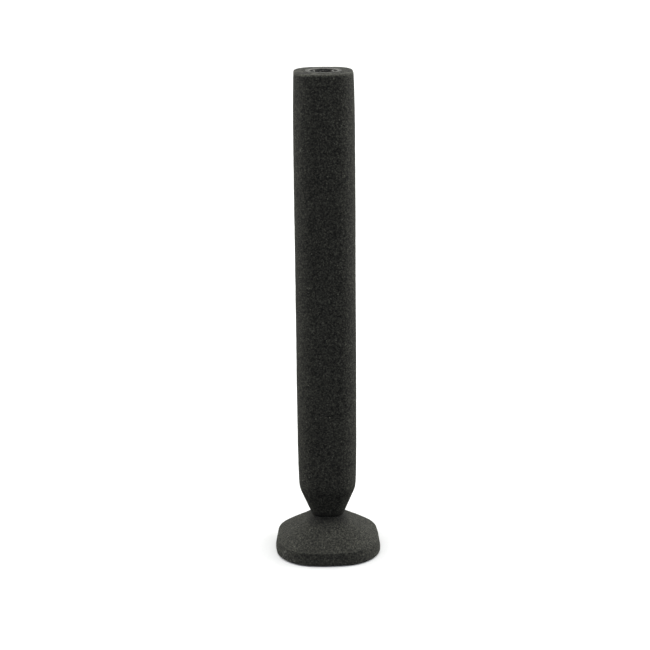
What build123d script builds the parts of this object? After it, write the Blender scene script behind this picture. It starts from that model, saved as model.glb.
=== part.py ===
from build123d import *
from math import atan2, degrees, pi, radians, sin, sqrt, tan
import os

# Tall incense burner: a cored, soft-square cast column clamped on a domed cast foot, with a
# lift-out steel cup of lava grit in its mouth. A stick or cone of incense stands in the grit.
# Millimetres. +Z is up, and the origin is on the resting plane under the middle of the foot.

# Heights of the whole burner, from the resting plane
LIP_TOP = 300.0            # top of the cup's lip, the highest point
LIP_PROUD = 0.3            # how far the lip stands above the column's top face
COLUMN_TOP = LIP_TOP - LIP_PROUD
SHOULDER_HEIGHT = 42.6     # where the column's straight taper begins
NECK_HEIGHT = 23.2         # seat where the column stands on the foot
RIM_HEIGHT = 8.4           # sharp line between the foot's edge and its dome
FOOT_BOTTOM = 0.6          # underside of the casting, held off the table by the pad

# Column: half its width across the flats at the neck, the shaft's ends and its belly
NECK_HALF = 9.7
SHAFT_END_HALF = 17.5
BELLY_HALF = 18.2
SWELL_POWER = 8            # a high power keeps the shaft nearly straight between its ends
SHAFT_STEPS = 12
COLUMN_CORNER = 0.68       # corner radius as a share of the half width
COLUMN_SIDE = 13.0         # radius of the bowed sides as a share of the half width
TOP_EDGE_RADIUS = 1.2
SHOULDER_RADIUS = 16.0

# Foot: half widths, section and the rise of its dome
FOOT_HALF = 33.0
RIM_HALF = 31.5
FOOT_CORNER = 0.74
FOOT_SIDE = 2.7
DOME_STEPS = 6
DOME_POWER = 0.8           # under 1 sweeps the dome up towards the neck
DOME_SWELL = 0.6           # extra height half way up the slope
RIM_RADIUS = 0.5
FOOT_EDGE_RADIUS = 1.1

# Underside of the foot
PAD_HALF = 28.2
PAD_GAP = 0.3              # between the pad's edge and its rebate
PAD_REBATE = 0.9
POCKET_RADIUS = 12.5       # lets a socket spanner reach the nut
NUT_SEAT = 13.4            # roof of the pocket, which the washer bears on

# Round spigot that centres the column in a socket of the foot
SPIGOT_RADIUS = 6.4
SPIGOT_HEIGHT = 1.4
SPIGOT_GAP = 0.1

# M8 stud, nut and washers that clamp the column to the foot
THREAD_RADIUS = 4.0
THREAD_ROOT_RADIUS = 3.23
THREAD_PITCH = 1.25
THREAD_CREST = 0.125       # width of the flat on top of each thread
THREAD_GAP = 0.03          # radial clearance that stands for the mating thread
STUD_BOTTOM = 2.2
STUD_TOP = 39.0
TAPPED_DEPTH = 17.5
CLEARANCE_RADIUS = 4.4
NUT_FLATS = 13.0
NUT_HEIGHT = 6.8
NUT_CHAMFER = 0.6
WASHER_RADIUS = 8.0
WASHER_BORE = 4.2
WASHER_HEIGHT = 1.6
WASHER_CHAMFER = 0.3
SPRING_RADIUS = 7.4
SPRING_BORE = 4.1
SPRING_HEIGHT = 2.0
SPRING_SLIT = 1.2          # width of the split
SPRING_SLIT_ANGLE = 12     # the split is cut askew, in degrees from a radius

# Core down the column, and the cup that hangs in it by its lip
CORE_RADIUS = 9.6
CORE_FLOOR = 52.0
CUP_RADIUS = 9.2
CUP_WALL = 0.7
CUP_DEPTH = 38.0
CUP_BEND = 2.0
LIP_RADIUS = 10.8
LIP_THICKNESS = 0.7
LIP_GAP = 0.2
LIP_ROLL = 0.25

# Grit: level at the wall, slope of its dish and the dish's flat floor
GRIT_GAP = 0.05
GRIT_LEVEL = LIP_TOP - 0.8
GRIT_SHELF = 0.25
DISH_SLOPE = 38.0
DISH_FLOOR_RADIUS = 3.5


def soft_square(half, corner_share, side_share):
    """A square of that half width with bowed sides and tangent corner arcs."""
    side_radius = half * side_share
    corner_radius = half * corner_share
    setback = side_radius - half
    reach = sqrt(2 * (side_radius - corner_radius) ** 2 - setback ** 2)
    corner_centre = (reach - setback) / 2
    half_angle = degrees(atan2(corner_centre, corner_centre + setback))
    with BuildSketch() as outline:
        with BuildLine():
            for quarter in range(4):
                turn = 90 * quarter
                side = Vector(-setback, 0).rotate(Axis.Z, turn)
                corner = Vector(corner_centre, corner_centre).rotate(Axis.Z, turn)
                CenterArc(side, side_radius, turn - half_angle, 2 * half_angle)
                CenterArc(corner, corner_radius, turn + half_angle, 90 - 2 * half_angle)
        make_face()
    return outline.sketch


def edges_at(part, height):
    """The edges of a part that lie flat at that height."""
    return part.edges().filter_by(lambda edge: abs(edge.center().Z - height) < 1e-3)


def shaft_section(share):
    """Height and half width of the shaft, from the shoulder at share 0 to the top at share 1."""
    half = BELLY_HALF - (BELLY_HALF - SHAFT_END_HALF) * abs(2 * share - 1) ** SWELL_POWER
    return SHOULDER_HEIGHT + (COLUMN_TOP - SHOULDER_HEIGHT) * share, half


def dome_section(share):
    """Height and half width of the dome, from the rim at share 0 to the neck at share 1."""
    rise = (NECK_HEIGHT - RIM_HEIGHT) * (1 - (1 - share) ** DOME_POWER)
    half = RIM_HALF + (NECK_HALF + SPIGOT_GAP - RIM_HALF) * share
    return RIM_HEIGHT + rise + DOME_SWELL * sin(pi * share), half


# Foot: tapered edge, dome up to the neck, pad rebate, socket for the spigot, pocket for the nut
with BuildPart() as foot:
    for height, half in ((FOOT_BOTTOM, FOOT_HALF), (RIM_HEIGHT, RIM_HALF)):
        with BuildSketch(Plane.XY.offset(height)):
            add(soft_square(half, FOOT_CORNER, FOOT_SIDE))
    loft(ruled=True)
    for step in range(DOME_STEPS + 1):
        share = step / DOME_STEPS
        height, half = dome_section(share)
        corner = FOOT_CORNER + (COLUMN_CORNER - FOOT_CORNER) * share
        side = FOOT_SIDE + (COLUMN_SIDE - FOOT_SIDE) * share
        with BuildSketch(Plane.XY.offset(height)):
            add(soft_square(half, corner, side))
    loft()
    fillet(edges_at(foot, RIM_HEIGHT), radius=RIM_RADIUS)
    fillet(edges_at(foot, FOOT_BOTTOM), radius=FOOT_EDGE_RADIUS)
    with BuildSketch(Plane.XY.offset(FOOT_BOTTOM)):
        add(soft_square(PAD_HALF + PAD_GAP, FOOT_CORNER, FOOT_SIDE))
    extrude(amount=PAD_REBATE, mode=Mode.SUBTRACT)
    with Locations((0, 0, NECK_HEIGHT)):
        CounterBoreHole(CLEARANCE_RADIUS, SPIGOT_RADIUS + SPIGOT_GAP, SPIGOT_HEIGHT + SPIGOT_GAP)
    with Locations(Plane((0, 0, FOOT_BOTTOM), z_dir=(0, 0, -1))):
        Hole(POCKET_RADIUS, depth=NUT_SEAT - FOOT_BOTTOM)

# Column: shaft, straight taper to the neck, spigot, tapped hole, core and the rebate for the lip
with BuildPart() as column:
    for step in range(SHAFT_STEPS + 1):
        height, half = shaft_section(step / SHAFT_STEPS)
        with BuildSketch(Plane.XY.offset(height)):
            add(soft_square(half, COLUMN_CORNER, COLUMN_SIDE))
    loft()
    for height, half in ((NECK_HEIGHT, NECK_HALF), (SHOULDER_HEIGHT, SHAFT_END_HALF)):
        with BuildSketch(Plane.XY.offset(height)):
            add(soft_square(half, COLUMN_CORNER, COLUMN_SIDE))
    loft(ruled=True)
    fillet(edges_at(column, SHOULDER_HEIGHT), radius=SHOULDER_RADIUS)
    fillet(edges_at(column, COLUMN_TOP), radius=TOP_EDGE_RADIUS)
    with BuildSketch(Plane.XY.offset(NECK_HEIGHT)):
        Circle(SPIGOT_RADIUS)
    extrude(amount=-SPIGOT_HEIGHT)
    with Locations(Plane((0, 0, NECK_HEIGHT - SPIGOT_HEIGHT), z_dir=(0, 0, -1))):
        Hole(THREAD_RADIUS + THREAD_GAP, depth=TAPPED_DEPTH)
    with Locations((0, 0, COLUMN_TOP)):
        CounterBoreHole(CORE_RADIUS, LIP_RADIUS + LIP_GAP, LIP_THICKNESS - LIP_PROUD,
                        depth=COLUMN_TOP - CORE_FLOOR)

# Stud: ring grooves at the thread's pitch, and a plain end of the root's size each way
with BuildPart() as tie_stud:
    threads = int((STUD_TOP - STUD_BOTTOM - 2 * THREAD_PITCH) / THREAD_PITCH)
    first = STUD_BOTTOM + (STUD_TOP - STUD_BOTTOM - threads * THREAD_PITCH) / 2
    edge = [(0, STUD_BOTTOM), (THREAD_ROOT_RADIUS, STUD_BOTTOM)]
    for turn in range(threads):
        root = first + turn * THREAD_PITCH
        crest = root + (THREAD_PITCH - THREAD_CREST) / 2
        edge += [(THREAD_ROOT_RADIUS, root), (THREAD_RADIUS, crest), (THREAD_RADIUS, crest + THREAD_CREST)]
    edge += [(THREAD_ROOT_RADIUS, first + threads * THREAD_PITCH), (THREAD_ROOT_RADIUS, STUD_TOP),
             (0, STUD_TOP)]
    with BuildSketch(Plane.XZ):
        with BuildLine():
            Polyline(*edge, close=True)
        make_face()
    revolve(axis=Axis.Z)

# Plain washer against the roof of the pocket
with BuildPart() as plain_washer:
    with BuildSketch(Plane.XY.offset(NUT_SEAT - WASHER_HEIGHT)):
        Circle(WASHER_RADIUS)
        Circle(WASHER_BORE, mode=Mode.SUBTRACT)
    extrude(amount=WASHER_HEIGHT)
    rim = plain_washer.edges().group_by(Axis.Z)[0].sort_by(SortBy.RADIUS)[-1]
    chamfer(rim, length=WASHER_CHAMFER)

# Split spring washer, closed flat
SPRING_TOP = NUT_SEAT - WASHER_HEIGHT
with BuildPart() as spring_washer:
    with BuildSketch(Plane.XY.offset(SPRING_TOP - SPRING_HEIGHT)):
        Circle(SPRING_RADIUS)
        Circle(SPRING_BORE, mode=Mode.SUBTRACT)
        with Locations((SPRING_RADIUS, 0)):
            Rectangle(2 * (SPRING_RADIUS - SPRING_BORE) + SPRING_SLIT, SPRING_SLIT, rotation=SPRING_SLIT_ANGLE,
                      mode=Mode.SUBTRACT)
    extrude(amount=SPRING_HEIGHT)

# Hexagon nut with both faces chamfered
NUT_TOP = SPRING_TOP - SPRING_HEIGHT
NUT_CORNER_RADIUS = NUT_FLATS / sqrt(3)
with BuildPart() as tie_nut:
    with BuildSketch(Plane.XY.offset(NUT_TOP - NUT_HEIGHT)):
        RegularPolygon(NUT_FLATS / 2, 6, major_radius=False)
    extrude(amount=NUT_HEIGHT)
    with BuildSketch(Plane.XZ):
        with BuildLine():
            Polyline((0, NUT_TOP - NUT_HEIGHT), (NUT_FLATS / 2, NUT_TOP - NUT_HEIGHT),
                     (NUT_CORNER_RADIUS, NUT_TOP - NUT_HEIGHT + NUT_CHAMFER),
                     (NUT_CORNER_RADIUS, NUT_TOP - NUT_CHAMFER), (NUT_FLATS / 2, NUT_TOP),
                     (0, NUT_TOP), close=True)
        make_face()
    revolve(axis=Axis.Z, mode=Mode.INTERSECT)
    Hole(THREAD_RADIUS + THREAD_GAP)

# Rubber pad, glued in the rebate and closing the pocket
with BuildPart() as base_pad:
    with BuildSketch():
        add(soft_square(PAD_HALF, FOOT_CORNER, FOOT_SIDE))
    extrude(amount=FOOT_BOTTOM + PAD_REBATE)

# Cup: pressed steel, hanging by its lip in the rebate at the top of the column
LIP_SEAT = LIP_TOP - LIP_THICKNESS
with BuildPart() as grit_cup:
    with BuildSketch(Plane.XY.offset(LIP_TOP)):
        Circle(CUP_RADIUS)
    extrude(amount=-CUP_DEPTH)
    fillet(grit_cup.edges().group_by(Axis.Z)[0], radius=CUP_BEND)
    with BuildSketch(Plane.XY.offset(LIP_SEAT)):
        Circle(LIP_RADIUS)
    extrude(amount=LIP_THICKNESS)
    with BuildPart(mode=Mode.PRIVATE) as cup_hollow:
        with BuildSketch(Plane.XY.offset(LIP_TOP)):
            Circle(CUP_RADIUS - CUP_WALL)
        extrude(amount=CUP_WALL - CUP_DEPTH)
        fillet(cup_hollow.edges().group_by(Axis.Z)[0], radius=CUP_BEND - CUP_WALL)
    add(cup_hollow.part, mode=Mode.SUBTRACT)
    fillet(grit_cup.edges().group_by(Axis.Z)[-1], radius=LIP_ROLL)

# Grit: fills the cup, with a dish in its top where the incense stands
with BuildPart() as grit_bed:
    grit_radius = CUP_RADIUS - CUP_WALL - GRIT_GAP
    grit_bottom = LIP_TOP - CUP_DEPTH + CUP_WALL
    dish_radius = grit_radius - GRIT_SHELF
    dish_floor = GRIT_LEVEL - (dish_radius - DISH_FLOOR_RADIUS) * tan(radians(DISH_SLOPE))
    with BuildSketch(Plane.XZ):
        with BuildLine():
            Polyline((0, grit_bottom), (grit_radius, grit_bottom), (grit_radius, GRIT_LEVEL),
                     (dish_radius, GRIT_LEVEL), (DISH_FLOOR_RADIUS, dish_floor), (0, dish_floor),
                     close=True)
        make_face()
    revolve(axis=Axis.Z)
    fillet(grit_bed.edges().group_by(Axis.Z)[0], radius=CUP_BEND - CUP_WALL)

foot.part.label = "foot"
column.part.label = "column"
tie_stud.part.label = "tie_stud"
plain_washer.part.label = "plain_washer"
spring_washer.part.label = "spring_washer"
tie_nut.part.label = "tie_nut"
base_pad.part.label = "base_pad"
grit_cup.part.label = "grit_cup"
grit_bed.part.label = "grit_bed"

os.makedirs("parts", exist_ok=True)
for piece in (foot, column, tie_stud, plain_washer, spring_washer, tie_nut, base_pad, grit_cup, grit_bed):
    export_step(piece.part, f"parts/{piece.part.label}.step")
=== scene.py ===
"""Looks of a tall sand-cast incense burner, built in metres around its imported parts."""

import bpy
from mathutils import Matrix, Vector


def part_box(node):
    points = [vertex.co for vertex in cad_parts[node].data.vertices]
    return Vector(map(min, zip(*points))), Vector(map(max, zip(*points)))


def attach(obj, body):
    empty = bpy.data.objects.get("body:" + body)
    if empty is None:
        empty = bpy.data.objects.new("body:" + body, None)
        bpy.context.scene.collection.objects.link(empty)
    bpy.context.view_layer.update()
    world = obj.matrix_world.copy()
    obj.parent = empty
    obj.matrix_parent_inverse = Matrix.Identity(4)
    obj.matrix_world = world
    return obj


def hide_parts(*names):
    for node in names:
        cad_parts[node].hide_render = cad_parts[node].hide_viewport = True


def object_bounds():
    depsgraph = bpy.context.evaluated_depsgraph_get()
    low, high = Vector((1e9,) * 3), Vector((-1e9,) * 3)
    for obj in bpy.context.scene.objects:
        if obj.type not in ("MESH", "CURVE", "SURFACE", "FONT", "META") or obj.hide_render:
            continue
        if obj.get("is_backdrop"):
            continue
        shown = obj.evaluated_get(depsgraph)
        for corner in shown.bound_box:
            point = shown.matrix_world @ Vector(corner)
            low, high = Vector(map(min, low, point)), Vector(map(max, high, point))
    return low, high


bl_info = {
    "name": "Cast Incense Burner",
    "version": (1, 0, 0),
    "blender": (4, 5, 0),
    "location": "3D View > Sidebar > Incense Burner",
    "description": "Builds the castings, cup, grit and pad of an incense burner, and a studio to see it in",
    "category": "Add Mesh",
}

from collections import namedtuple
from math import atan2, cos, hypot, pi, radians, sin, sqrt, tan, tau
from random import Random

import bmesh
import bpy
from bpy.props import FloatProperty, FloatVectorProperty, IntProperty, PointerProperty
from bpy.types import Operator, Panel, PropertyGroup
from mathutils import Matrix, Vector, noise

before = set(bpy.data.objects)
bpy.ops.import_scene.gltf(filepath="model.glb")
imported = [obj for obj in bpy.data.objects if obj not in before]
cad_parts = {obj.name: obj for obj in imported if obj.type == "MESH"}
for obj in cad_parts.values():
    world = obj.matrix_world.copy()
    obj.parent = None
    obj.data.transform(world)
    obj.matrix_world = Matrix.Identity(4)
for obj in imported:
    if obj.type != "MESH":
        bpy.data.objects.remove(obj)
CAD_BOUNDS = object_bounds()

FOOT_LOW, FOOT_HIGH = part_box("foot")
COLUMN_LOW, COLUMN_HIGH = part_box("column")
CUP_LOW, CUP_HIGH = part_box("grit_cup")
GRIT_LOW, GRIT_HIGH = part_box("grit_bed")
PAD_LOW, PAD_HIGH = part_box("base_pad")
STUD_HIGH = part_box("tie_stud")[1]
WASHER_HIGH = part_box("plain_washer")[1]

NECK_HEIGHT = FOOT_HIGH.z
NUT_SEAT = WASHER_HIGH.z
LIP_REBATE_RADIUS = CUP_HIGH.x + 0.0002

# Machined sizes inside the foot
SOCKET_RADIUS = 0.0065
SOCKET_DEPTH = 0.0015
POCKET_RADIUS = 0.0125
BOLT_RADIUS = 0.0044
REBATE_HALF = PAD_HIGH.x + 0.0003

MARGIN = 0.0001  # how far beyond a surface a point must be to count as past it

# One ring of a casting: its height, its half width and how square it is.
# A corner and side share of 1 makes a circle.
Ring = namedtuple("Ring", "height half corner side")
ROUND = 1.0


# Sizes and colours that a user would change

class CastingSizes(PropertyGroup):
    """Shape of the foot and the column beyond what their boxes say."""

    rim_height: FloatProperty(
        name="Rim Height", description="Height of the line between the foot's edge and its dome",
        default=0.0084, unit="LENGTH")
    rim_half: FloatProperty(
        name="Rim Half Width", description="Half the foot's width at that line",
        default=0.0315, unit="LENGTH")
    dome_power: FloatProperty(
        name="Dome Power", description="Under 1 sweeps the dome up towards the neck", default=0.8)
    dome_swell: FloatProperty(
        name="Dome Swell", description="Extra height half way up the dome", default=0.0006, unit="LENGTH")
    foot_corner: FloatProperty(
        name="Foot Corner", description="Corner radius as a share of the half width", default=0.74)
    foot_side: FloatProperty(
        name="Foot Side", description="Radius of the bowed sides as a share of the half width", default=2.7)
    neck_half: FloatProperty(
        name="Neck Half Width", description="Half the width of the neck", default=0.0097, unit="LENGTH")
    shoulder_height: FloatProperty(
        name="Shoulder Height", description="Height where the straight taper meets the shaft",
        default=0.0426, unit="LENGTH")
    shaft_end_half: FloatProperty(
        name="Shaft End Half Width", description="Half the shaft's width at its two ends",
        default=0.0175, unit="LENGTH")
    shoulder_blend: FloatProperty(
        name="Shoulder Blend", description="How far above and below the shoulder its rounding reaches",
        default=0.0028, unit="LENGTH")
    top_edge: FloatProperty(
        name="Top Edge", description="Radius of the edge round the column's top face",
        default=0.0012, unit="LENGTH")
    swell_power: FloatProperty(
        name="Swell Power", description="High powers keep the shaft straight between its ends", default=8.0)
    column_corner: FloatProperty(
        name="Column Corner", description="Corner radius as a share of the half width", default=0.68)
    column_side: FloatProperty(
        name="Column Side", description="Radius of the bowed sides as a share of the half width",
        default=13.0)
    core_radius: FloatProperty(
        name="Core Radius", description="Radius of the core down the column", default=0.0096, unit="LENGTH")
    core_floor: FloatProperty(
        name="Core Floor", description="Height of the bottom of the core", default=0.052, unit="LENGTH")
    spacing: FloatProperty(
        name="Ring Spacing", description="Distance between the rings of the mesh",
        default=0.0009, unit="LENGTH")
    segments: IntProperty(
        name="Segments", description="Points round each ring of the mesh", default=160)


class CastingFinish(PropertyGroup):
    """The sand-cast skin and its black coat."""

    coat: FloatVectorProperty(
        name="Coat", description="Colour of the matte black coat", subtype="COLOR",
        default=(0.0288, 0.0288, 0.0232))
    grain: FloatProperty(
        name="Sand Grain", description="Size of the sand's print in the skin", default=0.00088, unit="LENGTH")
    relief: FloatProperty(
        name="Relief", description="Depth of that print", default=0.00022, unit="LENGTH")
    unevenness: FloatProperty(
        name="Unevenness", description="How far the mould's walls wander", default=0.00013, unit="LENGTH")


class GritSizes(PropertyGroup):
    """The lava grit in the cup."""

    slope: FloatProperty(
        name="Dish Slope", description="Slope of the dish in the grit", subtype="ANGLE", default=radians(38))
    floor_radius: FloatProperty(
        name="Dish Floor Radius", description="Radius of the dish's flat floor",
        default=0.0035, unit="LENGTH")
    smallest: FloatProperty(
        name="Smallest Grain", description="Radius of the smallest grains", default=0.0007, unit="LENGTH")
    largest: FloatProperty(
        name="Largest Grain", description="Radius of the largest grains", default=0.0015, unit="LENGTH")
    seed: IntProperty(name="Seed", description="Picks another scatter of the grains", default=11)


class StudioLook(PropertyGroup):
    """Floor, light and the eye that looks at the burner."""

    distance: FloatProperty(
        name="Eye Distance", description="How far in front of the burner the camera stands",
        default=0.9805, unit="LENGTH")
    height: FloatProperty(
        name="Eye Height", description="Height of the camera", default=0.4386, unit="LENGTH")
    around: FloatProperty(
        name="Around", description="How far round the burner the camera stands", subtype="ANGLE",
        default=radians(-1.18))
    pitch: FloatProperty(
        name="Pitch", description="How far down the camera looks", subtype="ANGLE", default=radians(16.65))
    yaw: FloatProperty(
        name="Yaw", description="How far the camera looks to the left", subtype="ANGLE",
        default=radians(0.03))
    roll: FloatProperty(
        name="Roll", description="How far the camera is tilted to one side", subtype="ANGLE",
        default=radians(-0.572))
    lens: FloatProperty(
        name="Lens", description="Focal length on a 36 mm wide sensor, in millimetres", default=93.3)
    front: FloatProperty(
        name="Front", description="Brightness of the surround in front of the burner", default=0.69)
    sides: FloatProperty(
        name="Sides", description="Brightness of the surround at the burner's sides", default=2.0)
    behind: FloatProperty(
        name="Behind", description="Brightness of the surround past the sides", default=1.2)
    back: FloatProperty(
        name="Back", description="Brightness of the surround straight behind", default=1.6)
    top_light: FloatProperty(
        name="Top Light", description="Power of the softbox overhead, in watts", default=5.8)
    left_light: FloatProperty(
        name="Left Light", description="Power of the softbox on the left, in watts", default=12.5)
    right_light: FloatProperty(
        name="Right Light", description="Power of the softbox on the right, in watts", default=17.5)
    floor_tone: FloatProperty(
        name="Floor Tone", description="How light the floor looks round the burner", default=0.67)
    bounce: FloatProperty(
        name="Bounce", description="Share of the light that the floor throws back up", default=0.015)


# Mesh helpers

def reach(angle, ring):
    """Distance from the axis to the outline of a soft square, in one direction."""
    side_radius = ring.half * ring.side
    corner_radius = ring.half * ring.corner
    setback = side_radius - ring.half
    corner = (sqrt(2 * (side_radius - corner_radius) ** 2 - setback ** 2) - setback) / 2
    turn = (angle + pi / 4) % (pi / 2) - pi / 4
    joint = atan2(corner, corner + setback)
    joint_angle = atan2(side_radius * sin(joint), side_radius * cos(joint) - setback)
    if abs(turn) < joint_angle:
        return sqrt(side_radius ** 2 - (setback * sin(turn)) ** 2) - setback * cos(turn)
    turn = abs(turn)
    along = corner * (cos(turn) + sin(turn))
    across = corner * (cos(turn) - sin(turn))
    return along + sqrt(corner_radius ** 2 - across ** 2)


def place_ring(verts, ring):
    """Moves a loop of points onto a ring, each in the direction it already has."""
    for vert in verts:
        angle = atan2(vert.co.y, vert.co.x)
        distance = reach(angle, ring)
        vert.co = (distance * cos(angle), distance * sin(angle), ring.height)


def draw_through(bm, rings, segments, closed_ends):
    """Extrudes a loop of edges through the rings, and returns each ring's edges.

    The ends are capped, or joined to each other where the shape has a hole through it."""
    loop = bmesh.ops.create_circle(bm, cap_ends=closed_ends, radius=1, segments=segments)["verts"]
    place_ring(loop, rings[0])
    edges = list({edge for vert in loop for edge in vert.link_edges})
    loops = [edges]
    for ring in rings[1:]:
        made = bmesh.ops.extrude_edge_only(bm, edges=edges)["geom"]
        edges = [item for item in made if isinstance(item, bmesh.types.BMEdge)]
        place_ring([item for item in made if isinstance(item, bmesh.types.BMVert)], ring)
        loops.append(edges)
    if closed_ends:
        bmesh.ops.contextual_create(bm, geom=edges)
    else:
        bmesh.ops.bridge_loops(bm, edges=loops[0] + edges)
    return loops


def between(first, last, spacing):
    """The rings from just after the first to the last, no further apart than the spacing."""
    length = hypot(last.height - first.height, last.half - first.half)
    count = max(1, round(length / spacing))
    return [Ring(*(a + (b - a) * step / count for a, b in zip(first, last)))
            for step in range(1, count + 1)]


def soften(bm, edges, width, segments=4):
    """Rounds a loop of edges."""
    bmesh.ops.bevel(bm, geom=edges, offset=width, segments=segments, affect="EDGES", profile=0.5,
                    material=-1, clamp_overlap=True)


def finish_shell(bm):
    """Merges doubles, and turns the faces of a closed shell outwards."""
    bmesh.ops.remove_doubles(bm, verts=bm.verts, dist=1e-6)
    bmesh.ops.recalc_face_normals(bm, faces=bm.faces)
    bm.normal_update()


def roughen(bm, depth, is_skin):
    """Moves the cast skin in and out as hand-rammed sand does: long waves, lumps and coarse grains."""
    for vert in bm.verts:
        if is_skin(vert.co):
            wave = noise.noise(vert.co / 0.045)
            lump = noise.noise(vert.co / 0.007 + Vector((3, 7, 5)))
            grain = noise.noise(vert.co / 0.0021 + Vector((11, 2, 9)))
            vert.co += vert.normal * depth * (wave + 0.45 * lump + 0.4 * grain)
    bm.normal_update()


def mark_skin(bm, is_skin):
    """Stores where the coat is, and how much each point sticks out as an edge."""
    skin = bm.verts.layers.float.new("skin")
    edge_wear = bm.verts.layers.float.new("edge_wear")
    for vert in bm.verts:
        vert[skin] = 1.0 if is_skin(vert.co) else 0.0
        sharpest = max((edge.calc_face_angle_signed(0.0) for edge in vert.link_edges), default=0.0)
        vert[edge_wear] = min(max((sharpest - radians(6)) / radians(14), 0.0), 1.0)


def make_piece(bm, name, material, body, nodes, sharp=radians(50)):
    """Makes an object of the mesh, smooth but for its sharp edges, in place of its CAD nodes."""
    for face in bm.faces:
        face.smooth = True
    for edge in bm.edges:
        edge.smooth = edge.calc_face_angle(0.0) < sharp
    mesh = bpy.data.meshes.new(name)
    bm.to_mesh(mesh)
    bm.free()
    piece = bpy.data.objects.new(name, mesh)
    bpy.context.scene.collection.objects.link(piece)
    mesh.materials.append(material)
    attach(piece, body)
    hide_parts(*nodes)
    return piece


# Material helpers

def new_material(name):
    """A material with its own Principled shader, and the tree to build on."""
    material = bpy.data.materials.new(name)
    material.use_nodes = True
    tree = material.node_tree
    return material, tree, tree.nodes["Principled BSDF"]


def add_node(tree, kind, inputs=None, **settings):
    """Adds a node. An input is a value, or the output of another node."""
    node = tree.nodes.new(kind)
    for key, value in settings.items():
        setattr(node, key, value)
    for key, value in (inputs or {}).items():
        if isinstance(value, bpy.types.NodeSocket):
            tree.links.new(value, node.inputs[key])
        else:
            node.inputs[key].default_value = value
    return node


def fit_range(tree, value, low, high, to_low, to_high):
    """Maps a value from one range to another, held at its ends."""
    return add_node(tree, "ShaderNodeMapRange", {
        "Value": value, "From Min": low, "From Max": high, "To Min": to_low, "To Max": to_high,
    }).outputs["Result"]


def calculate(tree, operation, first, second):
    """One step of arithmetic on two values."""
    return add_node(tree, "ShaderNodeMath", {0: first, 1: second}, operation=operation).outputs["Value"]


def blend_colours(tree, factor, first, second):
    """The mix of two colours, each given as three numbers or as an output."""
    def whole(colour):
        return colour if isinstance(colour, bpy.types.NodeSocket) else (*colour, 1.0)

    mix = add_node(tree, "ShaderNodeMix", {"Factor": factor, "A": whole(first), "B": whole(second)},
                   data_type="RGBA")
    return next(out for out in mix.outputs if out.type == "RGBA")


def scale_colour(tree, colour, factor):
    """A colour made lighter or darker by a factor."""
    return add_node(tree, "ShaderNodeVectorMath", {0: colour, "Scale": factor},
                    operation="SCALE").outputs["Vector"]


def cloud(tree, place, size, detail=3.0, roughness=0.55):
    """Soft noise whose features are about that size, from 0 to 1."""
    return add_node(tree, "ShaderNodeTexNoise", {
        "Vector": place, "Scale": 1 / size, "Detail": detail, "Roughness": roughness,
    }).outputs["Fac"]


def cells(tree, place, size, output="Distance"):
    """Cells of about that size: the distance to the nearest middle, or a random colour each."""
    return add_node(tree, "ShaderNodeTexVoronoi", {"Vector": place, "Scale": 1 / size}).outputs[output]


def place_on(tree, stretch=(1, 1, 1)):
    """Where a point is on the piece, stretched along the axes."""
    where = add_node(tree, "ShaderNodeTexCoord").outputs["Object"]
    return add_node(tree, "ShaderNodeMapping", {"Vector": where, "Scale": stretch}).outputs["Vector"]


def raise_surface(tree, height, depth, below=None):
    """A bump of that depth, on top of another where one is given."""
    inputs = {"Height": height, "Distance": depth, "Strength": 1.0}
    if below is not None:
        inputs["Normal"] = below
    return add_node(tree, "ShaderNodeBump", inputs).outputs["Normal"]


def attribute(tree, name):
    """A number stored on the mesh."""
    return add_node(tree, "ShaderNodeAttribute", attribute_name=name).outputs["Fac"]


# Materials

def coat_tone(tree, place, fine, sand):
    """How light the coat is: slow blotches and drifts, the sand's print, and a torn top face."""
    blotch = cloud(tree, place, 0.016, detail=5.0, roughness=0.6)
    drift = cloud(tree, place_on(tree, (1, 1, 0.25)), 0.02, detail=2.0)
    tone = calculate(tree, "MULTIPLY", fit_range(tree, blotch, 0.3, 0.7, 0.88, 1.12),
                     fit_range(tree, drift, 0.3, 0.7, 0.93, 1.07))
    tone = calculate(tree, "MULTIPLY", tone, fit_range(tree, fine, 0.34, 0.66, 0.0, 2.0))
    tone = calculate(tree, "MULTIPLY", tone, fit_range(tree, sand, 0.1, 0.72, 1.45, 0.4))
    tear = cloud(tree, place, 0.0045, detail=4.0, roughness=0.7)
    tear = fit_range(tree, tear, 0.4, 0.6, -0.7, 0.95)
    torn = calculate(tree, "MULTIPLY", tear, attribute(tree, "top_face"))
    return calculate(tree, "MULTIPLY", tone, calculate(tree, "ADD", 1.0, torn))


def painted_glints(tree, place, size):
    """Where a few grains of that size get a painted glint: a lighter base colour standing in for grains that
    catch the light.
    """
    lot = cells(tree, place, size, output="Color")
    chance = add_node(tree, "ShaderNodeSeparateColor", {"Color": lot}).outputs["Red"]
    near = fit_range(tree, cells(tree, place, size), 0.28, 0.4, 1.0, 0.0)
    return calculate(tree, "MULTIPLY", fit_range(tree, chance, 0.972, 0.99, 0.0, 1.0), near)


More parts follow.
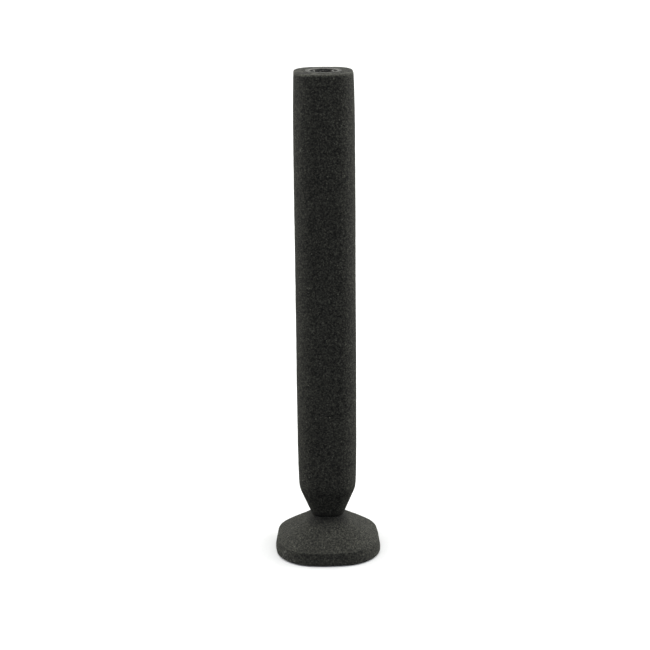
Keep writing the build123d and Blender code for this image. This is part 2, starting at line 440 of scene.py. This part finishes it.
def sand_cast_skin(finish):
    """Sand-cast metal under a thin matte black coat, bare where it was machined or chipped."""
    material, tree, shader = new_material("sand_cast_skin")
    place = place_on(tree)
    sand = cells(tree, place, finish.grain)
    fine = cloud(tree, place, finish.grain * 1.4, detail=3.0, roughness=0.75)
    shade = scale_colour(tree, tuple(finish.coat), coat_tone(tree, place, fine, sand))

    # Painted highlight: a few grains take 2.9 times the coat's colour, glints painted into the colour.
    painted_glint_colour = [2.9 * part for part in finish.coat]
    shade = blend_colours(tree, painted_glints(tree, place, finish.grain * 1.6), shade, painted_glint_colour)

    rub_colour = [2.3 * part for part in finish.coat]
    rub = calculate(tree, "MULTIPLY", attribute(tree, "edge_wear"), fit_range(tree, fine, 0.4, 0.6, 0.1, 0.9))
    shade = blend_colours(tree, rub, shade, rub_colour)

    flakes = fit_range(tree, fine, 0.5, 0.62, 0.0, 1.0)
    chipped = calculate(tree, "MULTIPLY", attribute(tree, "chips"), flakes)
    shade = blend_colours(tree, chipped, shade, (0.16, 0.155, 0.145))
    # Painted shade: the coat darkens to 0.3 of its colour at the joint of the column and the foot, standing
    # in for the shadow there.
    shade = scale_colour(tree, shade, fit_range(tree, attribute(tree, "joint_painted_shade"), 0.0, 0.9, 1.0, 0.3))

    bare = calculate(tree, "SUBTRACT", 1.0, attribute(tree, "skin"))
    turning = cloud(tree, place_on(tree, (0.1, 0.1, 1)), 0.0003, detail=1.0)
    metal = blend_colours(tree, turning, (0.20, 0.20, 0.195), (0.42, 0.42, 0.41))
    tree.links.new(blend_colours(tree, bare, shade, metal), shader.inputs["Base Color"])
    tree.links.new(calculate(tree, "MULTIPLY", bare, 0.9), shader.inputs["Metallic"])

    rough = fit_range(tree, fine, 0.3, 0.7, 0.72, 0.94)
    rough = calculate(tree, "SUBTRACT", rough, calculate(tree, "MULTIPLY", bare, 0.4))
    tree.links.new(rough, shader.inputs["Roughness"])
    shader.inputs["Specular IOR Level"].default_value = 0.2

    lumps = raise_surface(tree, cloud(tree, place, 0.003, detail=2.0), finish.relief * 1.2)
    pressed = raise_surface(tree, fit_range(tree, sand, 0.0, 0.8, 1.0, 0.0), finish.relief, lumps)
    tree.links.new(raise_surface(tree, fine, finish.relief * 1.1, pressed), shader.inputs["Normal"])
    return material


def smoked_steel():
    """Drawn steel cup, sooty from use, rubbed bright round the inner edge of its lip."""
    material, tree, shader = new_material("smoked_steel")
    place = place_on(tree)
    soot = cloud(tree, place, 0.0035, detail=4.0, roughness=0.65)
    speck = cloud(tree, place, 0.0006, detail=2.0, roughness=0.7)
    shade = blend_colours(tree, fit_range(tree, soot, 0.35, 0.65, 0.0, 1.0),
                          (0.014, 0.014, 0.012), (0.040, 0.040, 0.034))
    shade = scale_colour(tree, shade, fit_range(tree, speck, 0.3, 0.7, 0.7, 1.3))
    worn = fit_range(tree, speck, 0.4, 0.6, 0.2, 1.0)
    rubbed = calculate(tree, "MULTIPLY", attribute(tree, "rubbed"), worn)
    tree.links.new(blend_colours(tree, rubbed, shade, (0.17, 0.165, 0.15)), shader.inputs["Base Color"])
    shader.inputs["Metallic"].default_value = 0.35
    tree.links.new(fit_range(tree, speck, 0.3, 0.7, 0.5, 0.75), shader.inputs["Roughness"])
    scale = raise_surface(tree, soot, 0.00008)
    tree.links.new(raise_surface(tree, speck, 0.00005, scale), shader.inputs["Normal"])
    return material


def broken_lava():
    """Broken lava: near black, pitted, each grain its own tone, the lightest of them ashen."""
    material, tree, shader = new_material("broken_lava")
    place = place_on(tree)
    tone = attribute(tree, "tone")
    pits = cells(tree, place, 0.00035)
    shade = blend_colours(tree, tone, (0.003, 0.003, 0.0028), (0.085, 0.082, 0.074))
    shade = scale_colour(tree, shade, fit_range(tree, pits, 0.1, 0.6, 0.6, 1.3))
    ashen = fit_range(tree, tone, 0.82, 0.87, 0.0, 1.0)
    tree.links.new(blend_colours(tree, ashen, shade, (0.34, 0.33, 0.295)), shader.inputs["Base Color"])
    tree.links.new(fit_range(tree, tone, 0.75, 0.8, 0.85, 0.35), shader.inputs["Roughness"])
    tree.links.new(raise_surface(tree, pits, 0.00012), shader.inputs["Normal"])
    return material


def moulded_rubber():
    """Moulded black rubber with a fine matte pebble and a little grey dust."""
    material, tree, shader = new_material("moulded_rubber")
    place = place_on(tree)
    pebble = cells(tree, place, 0.0006)
    dust = cloud(tree, place, 0.008, detail=5.0, roughness=0.7)
    shade = blend_colours(tree, fit_range(tree, dust, 0.45, 0.75, 0.0, 1.0), (0.016, 0.016, 0.017),
                          (0.040, 0.039, 0.037))
    tree.links.new(shade, shader.inputs["Base Color"])
    tree.links.new(fit_range(tree, dust, 0.4, 0.7, 0.7, 0.9), shader.inputs["Roughness"])
    tree.links.new(raise_surface(tree, pebble, 0.00007), shader.inputs["Normal"])
    return material


def zinc_plate():
    """Zinc-plated steel, with cloudy plating and the marks of turning."""
    material, tree, shader = new_material("zinc_plate")
    cloudy = cloud(tree, place_on(tree), 0.0025, detail=4.0)
    turned = cloud(tree, place_on(tree, (0.15, 0.15, 1)), 0.00022, detail=1.0)
    shade = blend_colours(tree, cloudy, (0.42, 0.43, 0.44), (0.62, 0.62, 0.60))
    tree.links.new(shade, shader.inputs["Base Color"])
    shader.inputs["Metallic"].default_value = 1.0
    tree.links.new(fit_range(tree, cloudy, 0.3, 0.7, 0.28, 0.45), shader.inputs["Roughness"])
    tree.links.new(raise_surface(tree, turned, 0.00003), shader.inputs["Normal"])
    return material


def floor_material(look):
    """Plain white studio floor with the faintest tooth, that throws back less light than it shows.

    It is toned down round the burner, where the softboxes make it brightest."""
    material, tree, shader = new_material("studio_floor")
    place = place_on(tree)
    away = add_node(tree, "ShaderNodeVectorMath", {0: place}, operation="LENGTH").outputs["Value"]
    tone = fit_range(tree, away, 0.3, 2.5, look.floor_tone, 0.95)
    tooth = fit_range(tree, cloud(tree, place, 0.004, detail=2.0), 0.3, 0.7, 0.985, 1.0)
    seen = calculate(tree, "MULTIPLY", tone, tooth)
    direct = add_node(tree, "ShaderNodeLightPath").outputs["Is Camera Ray"]
    shade = fit_range(tree, direct, 0.0, 1.0, look.bounce, seen)
    tree.links.new(shade, shader.inputs["Base Color"])
    shader.inputs["Roughness"].default_value = 0.9
    return material


# Pieces

def foot_rings(sizes):
    """The foot's rings from the socket's lip, over the dome, under the edge and back up the bolt hole."""
    corners = sizes.foot_corner, sizes.foot_side
    rings = [Ring(NECK_HEIGHT, SOCKET_RADIUS, ROUND, ROUND)]
    dome_length, joint_gap, edge_trim = 0.032, 0.0001, 0.0002
    dome_steps = round(dome_length / sizes.spacing)
    for step in range(dome_steps + 1):
        share = 1 - step / dome_steps
        rise = (NECK_HEIGHT - sizes.rim_height) * (1 - (1 - share) ** sizes.dome_power)
        swell = sizes.dome_swell * sin(pi * share)
        half = sizes.rim_half + (sizes.neck_half + joint_gap - sizes.rim_half) * share
        corner = sizes.foot_corner + (sizes.column_corner - sizes.foot_corner) * share
        side = sizes.foot_side + (sizes.column_side - sizes.foot_side) * share
        rings.append(Ring(sizes.rim_height + rise + swell, half, corner, side))
    marks = {"neck": 1, "rim": len(rings) - 1}
    rings += between(rings[-1], Ring(FOOT_LOW.z, FOOT_HIGH.x + edge_trim, *corners), sizes.spacing)
    marks["bottom"] = len(rings) - 1
    for height, half in ((FOOT_LOW.z, REBATE_HALF), (PAD_HIGH.z, REBATE_HALF)):
        rings += between(rings[-1], Ring(height, half, *corners), sizes.spacing)
    for height, radius in ((PAD_HIGH.z, POCKET_RADIUS), (NUT_SEAT, POCKET_RADIUS), (NUT_SEAT, BOLT_RADIUS),
                           (NECK_HEIGHT - SOCKET_DEPTH, BOLT_RADIUS),
                           (NECK_HEIGHT - SOCKET_DEPTH, SOCKET_RADIUS)):
        rings += between(rings[-1], Ring(height, radius, ROUND, ROUND), 3 * sizes.spacing)
    return rings, marks


class BURNER_OT_cast_foot(Operator):
    """Casts the soft-square foot, with its dome, edge, pocket and bolt hole"""

    bl_idname = "burner.cast_foot"
    bl_label = "Cast Foot"

    def execute(self, context):
        sizes = context.scene.burner_casting
        finish = context.scene.burner_finish
        rings, marks = foot_rings(sizes)
        bm = bmesh.new()
        loops = draw_through(bm, rings, sizes.segments, closed_ends=False)
        for mark, width, segments in (("rim", 0.0005, 4), ("bottom", 0.0008, 6), ("neck", 0.0002, 2)):
            soften(bm, loops[marks[mark]], width, segments)
        finish_shell(bm)

        bore_margin = 0.0003
        rebate = Ring(0, REBATE_HALF + MARGIN, sizes.foot_corner, sizes.foot_side)

        def is_skin(place):
            """Everywhere but the socket, the bolt hole, the pocket and the pad's rebate."""
            out = hypot(place.x, place.y)
            above_pocket = place.z > NUT_SEAT + MARGIN and out > SOCKET_RADIUS + bore_margin
            beside_pocket = place.z > PAD_HIGH.z + MARGIN and out > POCKET_RADIUS + bore_margin
            return above_pocket or beside_pocket or out > reach(atan2(place.y, place.x), rebate)

        roughen(bm, finish.unevenness, is_skin)
        mark_skin(bm, is_skin)
        mark_painted_joint_shade(bm, sizes.neck_half)
        mark_chips(bm)
        make_piece(bm, "foot_casting", shared_material("sand_cast_skin"), "burner", ["foot"])
        return {"FINISHED"}


def mark_painted_joint_shade(bm, joint_half):
    """Stores how near each point is to the joint of the column and the foot, for painted shade that darkens
    the coat there.
    """
    joint_painted_shade = bm.verts.layers.float.new("joint_painted_shade")
    shade_width = 0.0060
    for vert in bm.verts:
        across = max(0.0, max(abs(vert.co.x), abs(vert.co.y)) - joint_half)
        away = hypot(across, vert.co.z - NECK_HEIGHT)
        vert[joint_painted_shade] = max(0.0, 1 - away / shade_width)


def mark_chips(bm):
    """Stores where the coat is knocked off, round a few places on the foot's lower edge."""
    chips = bm.verts.layers.float.new("chips")
    knocks = [(Vector((-0.0285, -0.0225, 0.0040)), 0.0042), (Vector((-0.0235, -0.0285, 0.0020)), 0.0030),
              (Vector((0.0060, -0.0325, 0.0016)), 0.0014), (Vector((0.0290, 0.0240, 0.0030)), 0.0028)]
    for vert in bm.verts:
        vert[chips] = max(max(0.0, 1 - (vert.co - middle).length / size) for middle, size in knocks)


class BURNER_OT_cast_column(Operator):
    """Casts the soft-square column, with its taper, spigot, core and the rebate for the cup's lip"""

    bl_idname = "burner.cast_column"
    bl_label = "Cast Column"

    def execute(self, context):
        sizes = context.scene.burner_casting
        finish = context.scene.burner_finish
        rings, marks = column_rings(sizes)
        bm = bmesh.new()
        loops = draw_through(bm, rings, sizes.segments, closed_ends=True)
        for mark, width, segments in (("neck", 0.0003, 3), ("mouth", 0.0002, 2)):
            soften(bm, loops[marks[mark]], width, segments)
        finish_shell(bm)
        inside_neck, below_core = 0.0088, 0.001

        def is_skin(place):
            """The outside: not the spigot, the tapped hole, the core or the rebate for the cup's lip."""
            out = hypot(place.x, place.y)
            beneath_core = NECK_HEIGHT + MARGIN < place.z < sizes.core_floor - below_core
            return out > LIP_REBATE_RADIUS + MARGIN or beneath_core and out > inside_neck

        roughen(bm, finish.unevenness, is_skin)
        mark_skin(bm, lambda place: is_skin(place) or place.z > sizes.core_floor - MARGIN)
        top_face = bm.verts.layers.float.new("top_face")
        for vert in bm.verts:
            vert[top_face] = min(max(1 - (COLUMN_HIGH.z - vert.co.z) / sizes.top_edge, 0.0), 1.0)
        mark_painted_joint_shade(bm, sizes.neck_half)
        make_piece(bm, "column_casting", shared_material("sand_cast_skin"), "burner", ["column"])
        return {"FINISHED"}


def column_half(height, sizes):
    """Half the column's width at a height: straight taper, rounded shoulder, nearly straight shaft."""
    above = height - sizes.shoulder_height
    shaft_length = COLUMN_HIGH.z - sizes.shoulder_height
    swell = COLUMN_HIGH.x - sizes.shaft_end_half
    taper_slope = (sizes.shaft_end_half - sizes.neck_half) / (sizes.shoulder_height - NECK_HEIGHT)
    shaft_slope = 2 * sizes.swell_power * swell / shaft_length
    if above < 0:
        half = sizes.shaft_end_half + above * taper_slope
    else:
        share = above / shaft_length
        half = COLUMN_HIGH.x - swell * abs(2 * share - 1) ** sizes.swell_power
    overlap = max(0.0, sizes.shoulder_blend - abs(above))
    return half - (taper_slope - shaft_slope) * overlap ** 2 / (4 * sizes.shoulder_blend)


def column_rings(sizes):
    """The column's rings from the end of its tapped hole, round the outside and down the core."""
    tap_radius, spigot_radius = 0.00403, 0.0064
    lip_thickness, core_centre = 0.0007, 0.001
    rebate_floor = CUP_HIGH.z - lip_thickness
    corners = sizes.column_corner, sizes.column_side
    coarse = 3 * sizes.spacing
    top = COLUMN_HIGH.z
    rings = [Ring(STUD_HIGH.z + MARGIN, tap_radius, ROUND, ROUND)]
    for height, radius in ((COLUMN_LOW.z, tap_radius), (COLUMN_LOW.z, spigot_radius),
                           (NECK_HEIGHT, spigot_radius)):
        rings += between(rings[-1], Ring(height, radius, ROUND, ROUND), coarse)
    rings += between(rings[-1], Ring(NECK_HEIGHT, sizes.neck_half, *corners), coarse)
    marks = {"neck": len(rings) - 1}
    edge_start = top - sizes.top_edge
    steps = round((edge_start - NECK_HEIGHT) / sizes.spacing)
    for step in range(1, steps + 1):
        height = NECK_HEIGHT + (edge_start - NECK_HEIGHT) * step / steps
        rings.append(Ring(height, column_half(height, sizes), *corners))
    edge_steps = 6
    for step in range(1, edge_steps + 1):
        turn = pi / 2 * step / edge_steps
        half = column_half(edge_start, sizes) - sizes.top_edge * (1 - cos(turn))
        rings.append(Ring(edge_start + sizes.top_edge * sin(turn), half, *corners))
    rings += between(rings[-1], Ring(top, LIP_REBATE_RADIUS, ROUND, ROUND), sizes.spacing)
    marks["mouth"] = len(rings) - 1
    for height, radius in ((rebate_floor, LIP_REBATE_RADIUS), (rebate_floor, sizes.core_radius),
                           (sizes.core_floor, sizes.core_radius), (sizes.core_floor, core_centre)):
        rings += between(rings[-1], Ring(height, radius, ROUND, ROUND), coarse)
    return rings, marks


def spun(bm, outline, steps):
    """Spins an outline of (radius, height) points into a closed round shell."""
    verts = [bm.verts.new((radius, 0, height)) for radius, height in outline]
    edges = [bm.edges.new(pair) for pair in zip(verts, verts[1:])]
    bmesh.ops.spin(bm, geom=verts + edges, cent=(0, 0, 0), axis=(0, 0, 1), angle=tau, steps=steps,
                   use_merge=True)
    finish_shell(bm)


def edges_round(bm, radius, height):
    """The edges of the circle with that radius and height."""
    def on_circle(vert):
        return abs(hypot(vert.co.x, vert.co.y) - radius) < 1e-5 and abs(vert.co.z - height) < 1e-5

    return [edge for edge in bm.edges if all(on_circle(vert) for vert in edge.verts)]


class BURNER_OT_draw_cup(Operator):
    """Presses the steel cup that hangs in the column's mouth"""

    bl_idname = "burner.draw_cup"
    bl_label = "Draw Cup"

    def execute(self, context):
        outer, inner = 0.0092, 0.0085
        wall = outer - inner
        lip, top, bottom = CUP_HIGH.x, CUP_HIGH.z, CUP_LOW.z
        bm = bmesh.new()
        spun(bm, [(0, bottom), (outer, bottom), (outer, top - wall), (lip, top - wall), (lip, top),
                  (inner, top), (inner, bottom + wall), (0, bottom + wall)], steps=96)
        for radius, height, width in ((outer, bottom, 0.002), (inner, bottom + wall, 0.0013),
                                      (lip, top, 0.00025), (lip, top - wall, 0.0002), (inner, top, 0.0005)):
            soften(bm, edges_round(bm, radius, height), width, segments=5)
        bmesh.ops.recalc_face_normals(bm, faces=bm.faces)
        rubbed = bm.verts.layers.float.new("rubbed")
        rub_width = 0.0004
        for vert in bm.verts:
            from_edge = abs(hypot(vert.co.x, vert.co.y) - inner)
            vert[rubbed] = 1.0 if from_edge < rub_width and vert.co.z > top - rub_width else 0.0
        make_piece(bm, "cup_shell", shared_material("smoked_steel"), "cup", ["grit_cup"])
        return {"FINISHED"}


class BURNER_OT_fill_grit(Operator):
    """Fills the cup with broken lava, dished where the incense stands"""

    bl_idname = "burner.fill_grit"
    bl_label = "Fill Grit"

    def execute(self, context):
        sizes = context.scene.burner_grit
        radius, level = GRIT_HIGH.x, GRIT_HIGH.z
        chance = Random(sizes.seed)

        def surface(distance):
            """Height of the dish at that distance from the axis."""
            slope_from = radius - 0.00025
            fall = (slope_from - max(min(distance, slope_from), sizes.floor_radius)) * tan(sizes.slope)
            return level - fall

        bm = bmesh.new()
        tone = bm.verts.layers.float.new("tone")
        sink = 0.0006
        spun(bm, [(0, GRIT_LOW.z), (radius - 0.0015, GRIT_LOW.z), (radius, GRIT_LOW.z + 0.0015),
                  (radius, level - sink), (sizes.floor_radius, surface(0) - sink), (0, surface(0) - sink)],
             steps=48)
        grains = []
        for layer_depth in (0.0012, 0.0):
            layer = []
            for _ in range(2500):
                size = sizes.smallest + (sizes.largest - sizes.smallest) * chance.random() ** 1.5
                distance = (radius - size) * sqrt(chance.random())
                angle = chance.uniform(0, tau)
                middle = Vector((distance * cos(angle), distance * sin(angle),
                                 surface(distance + size * 0.5) - 0.4 * size - layer_depth))
                if all((middle - other).length > 0.82 * (size + other_size) for other, other_size in layer):
                    layer.append((middle, size))
            grains += layer
        for middle, size in grains:
            add_grain(bm, tone, middle, size, chance)
        make_piece(bm, "lava_grit", shared_material("broken_lava"), "cup", ["grit_bed"],
                   sharp=radians(25))
        return {"FINISHED"}


def add_grain(bm, tone, middle, size, chance):
    """Adds one angular grain: the hull of a few points round its middle."""
    stretch = Vector([chance.uniform(0.7, 1.1) for _ in range(3)])
    grain_tone = chance.random()
    points = []
    for _ in range(13):
        way = Vector([chance.gauss(0, 1) for _ in range(3)]).normalized() * chance.uniform(0.85, 1.1)
        points.append(bm.verts.new(middle + way * stretch * size))
    hull = bmesh.ops.convex_hull(bm, input=points)
    kept = [item for item in hull["geom"] if isinstance(item, bmesh.types.BMVert)]
    for vert in kept:
        vert[tone] = grain_tone
    bmesh.ops.delete(bm, geom=[vert for vert in points if not vert.link_faces], context="VERTS")


class BURNER_OT_mould_pad(Operator):
    """Moulds the rubber pad under the foot"""

    bl_idname = "burner.mould_pad"
    bl_label = "Mould Pad"

    def execute(self, context):
        sizes = context.scene.burner_casting
        corners = sizes.foot_corner, sizes.foot_side
        coarse = 4 * sizes.spacing
        bm = bmesh.new()
        rings = [Ring(PAD_LOW.z, 0.001, ROUND, ROUND)]
        rings += between(rings[-1], Ring(PAD_LOW.z, PAD_HIGH.x, *corners), coarse)
        low = len(rings) - 1
        rings += between(rings[-1], Ring(PAD_HIGH.z, PAD_HIGH.x, *corners), coarse)
        high = len(rings) - 1
        rings += between(rings[-1], Ring(PAD_HIGH.z, 0.001, ROUND, ROUND), coarse)
        loops = draw_through(bm, rings, sizes.segments, closed_ends=True)
        for loop in (loops[low], loops[high]):
            soften(bm, loop, 0.0003, segments=3)
        finish_shell(bm)
        make_piece(bm, "pad_sheet", shared_material("moulded_rubber"), "burner", ["base_pad"])
        return {"FINISHED"}


class BURNER_OT_plate_fasteners(Operator):
    """Gives the stud, the nut and the washers their zinc plating"""

    bl_idname = "burner.plate_fasteners"
    bl_label = "Plate Fasteners"

    def execute(self, context):
        for name in ("tie_stud", "plain_washer", "spring_washer", "tie_nut"):
            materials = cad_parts[name].data.materials
            materials.clear()
            materials.append(shared_material("zinc_plate"))
        return {"FINISHED"}


def shared_material(name):
    """A material by name, made the first time it is asked for."""
    made = bpy.data.materials.get(name)
    if made is None:
        makers = {
            "sand_cast_skin": lambda: sand_cast_skin(bpy.context.scene.burner_finish),
            "smoked_steel": smoked_steel,
            "broken_lava": broken_lava,
            "moulded_rubber": moulded_rubber,
            "zinc_plate": zinc_plate,
        }
        made = makers[name]()
    return made


# Studio

def white_surround(scene, look):
    """A white surround: dim and cool in front, brightest at the sides and straight behind.

    It lights the burner unevenly, but looks plain white past the edge of the floor."""
    world = bpy.data.worlds.new("white_surround")
    scene.world = world
    world.use_nodes = True
    tree = world.node_tree
    way = add_node(tree, "ShaderNodeTexCoord").outputs["Generated"]
    depth = add_node(tree, "ShaderNodeSeparateXYZ", {"Vector": way}).outputs["Y"]
    strength = calculate(tree, "SUBTRACT", fit_range(tree, depth, -0.72, -0.3, look.front, look.sides),
                         fit_range(tree, depth, -0.2, 0.2, 0.0, look.sides - look.behind))
    glow = fit_range(tree, depth, 0.6, 1.0, 0.0, look.back - look.behind)
    strength = calculate(tree, "ADD", strength, glow)
    cool, warm = (0.93, 0.98, 1.12), (1.0, 1.0, 0.96)
    tint = blend_colours(tree, fit_range(tree, depth, -0.8, -0.2, 0.0, 1.0), cool, warm)
    direct = add_node(tree, "ShaderNodeLightPath").outputs["Is Camera Ray"]
    tint = blend_colours(tree, direct, tint, (1.0, 1.0, 1.0))
    strength = calculate(tree, "MAXIMUM", strength, direct)
    background = tree.nodes["Background"]
    tree.links.new(tint, background.inputs["Color"])
    tree.links.new(strength, background.inputs["Strength"])


def add_softbox(name, watts, size, place, aim):
    """A square softbox at a place, turned to face its aim."""
    light = bpy.data.lights.new(name, "AREA")
    light.energy = watts
    light.size = size
    lamp = bpy.data.objects.new(name, light)
    bpy.context.scene.collection.objects.link(lamp)
    lamp.location = place
    lamp.rotation_euler = (Vector(aim) - Vector(place)).to_track_quat("-Z", "Y").to_euler()


class BURNER_OT_set_stage(Operator):
    """Lays the floor, hangs the lights and sets up the camera"""

    bl_idname = "burner.set_stage"
    bl_label = "Set Stage"

    def execute(self, context):
        scene = context.scene
        look = scene.burner_studio
        floor_half = 40.0
        bm = bmesh.new()
        bmesh.ops.create_grid(bm, x_segments=4, y_segments=4, size=floor_half)
        mesh = bpy.data.meshes.new("studio_floor")
        bm.to_mesh(mesh)
        bm.free()
        mesh.materials.append(floor_material(look))
        floor = bpy.data.objects.new("studio_floor", mesh)
        scene.collection.objects.link(floor)
        floor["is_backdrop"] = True

        white_surround(scene, look)
        middle = (0, 0, 0.15)
        add_softbox("top_softbox", look.top_light, 1.2, (0, 0, 1.6), middle)
        add_softbox("left_softbox", look.left_light, 0.9, (-1.3, 0.35, 0.5), middle)
        add_softbox("right_softbox", look.right_light, 0.9, (1.3, 0.35, 0.5), middle)

        camera = bpy.data.objects.new("eye", bpy.data.cameras.new("eye"))
        scene.collection.objects.link(camera)
        camera.data.sensor_width = 36.0
        camera.data.lens = look.lens
        camera.matrix_world = (
            Matrix.Rotation(look.around, 4, "Z")
            @ Matrix.Translation((0, -look.distance, look.height))
            @ Matrix.Rotation(look.yaw, 4, "Z")
            @ Matrix.Rotation(pi / 2 - look.pitch, 4, "X")
            @ Matrix.Rotation(look.roll, 4, "Z"))
        scene.camera = camera
        scene.view_settings.view_transform = "Standard"
        return {"FINISHED"}


OPERATORS = (BURNER_OT_cast_foot, BURNER_OT_cast_column, BURNER_OT_draw_cup, BURNER_OT_fill_grit,
             BURNER_OT_mould_pad, BURNER_OT_plate_fasteners, BURNER_OT_set_stage)


class BURNER_PT_sidebar(Panel):
    """Builds the burner piece by piece"""

    bl_idname = "BURNER_PT_sidebar"
    bl_label = "Incense Burner"
    bl_space_type = "VIEW_3D"
    bl_region_type = "UI"
    bl_category = "Incense Burner"

    def draw(self, context):
        layout = self.layout
        for operator in OPERATORS:
            layout.operator(operator.bl_idname)
        for group_name in SETTINGS:
            box = layout.box()
            group = getattr(context.scene, group_name)
            for key in group.bl_rna.properties.keys():
                if key not in ("name", "rna_type"):
                    box.prop(group, key)


SETTINGS = {
    "burner_casting": CastingSizes,
    "burner_finish": CastingFinish,
    "burner_grit": GritSizes,
    "burner_studio": StudioLook,
}


def register():
    for group_name, group in SETTINGS.items():
        bpy.utils.register_class(group)
        setattr(bpy.types.Scene, group_name, PointerProperty(type=group))
    for operator in OPERATORS:
        bpy.utils.register_class(operator)
    bpy.utils.register_class(BURNER_PT_sidebar)


def unregister():
    bpy.utils.unregister_class(BURNER_PT_sidebar)
    for operator in reversed(OPERATORS):
        bpy.utils.unregister_class(operator)
    for group_name, group in reversed(SETTINGS.items()):
        delattr(bpy.types.Scene, group_name)
        bpy.utils.unregister_class(group)


def main():
    register()
    bpy.ops.burner.cast_foot()
    bpy.ops.burner.cast_column()
    bpy.ops.burner.draw_cup()
    bpy.ops.burner.fill_grit()
    bpy.ops.burner.mould_pad()
    bpy.ops.burner.plate_fasteners()
    bpy.ops.burner.set_stage()
    boxes = {"cad": CAD_BOUNDS, "visual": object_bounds()}
    {name: [list(corner) for corner in box] for name, box in boxes.items()}


if __name__ == "__main__":
    main()
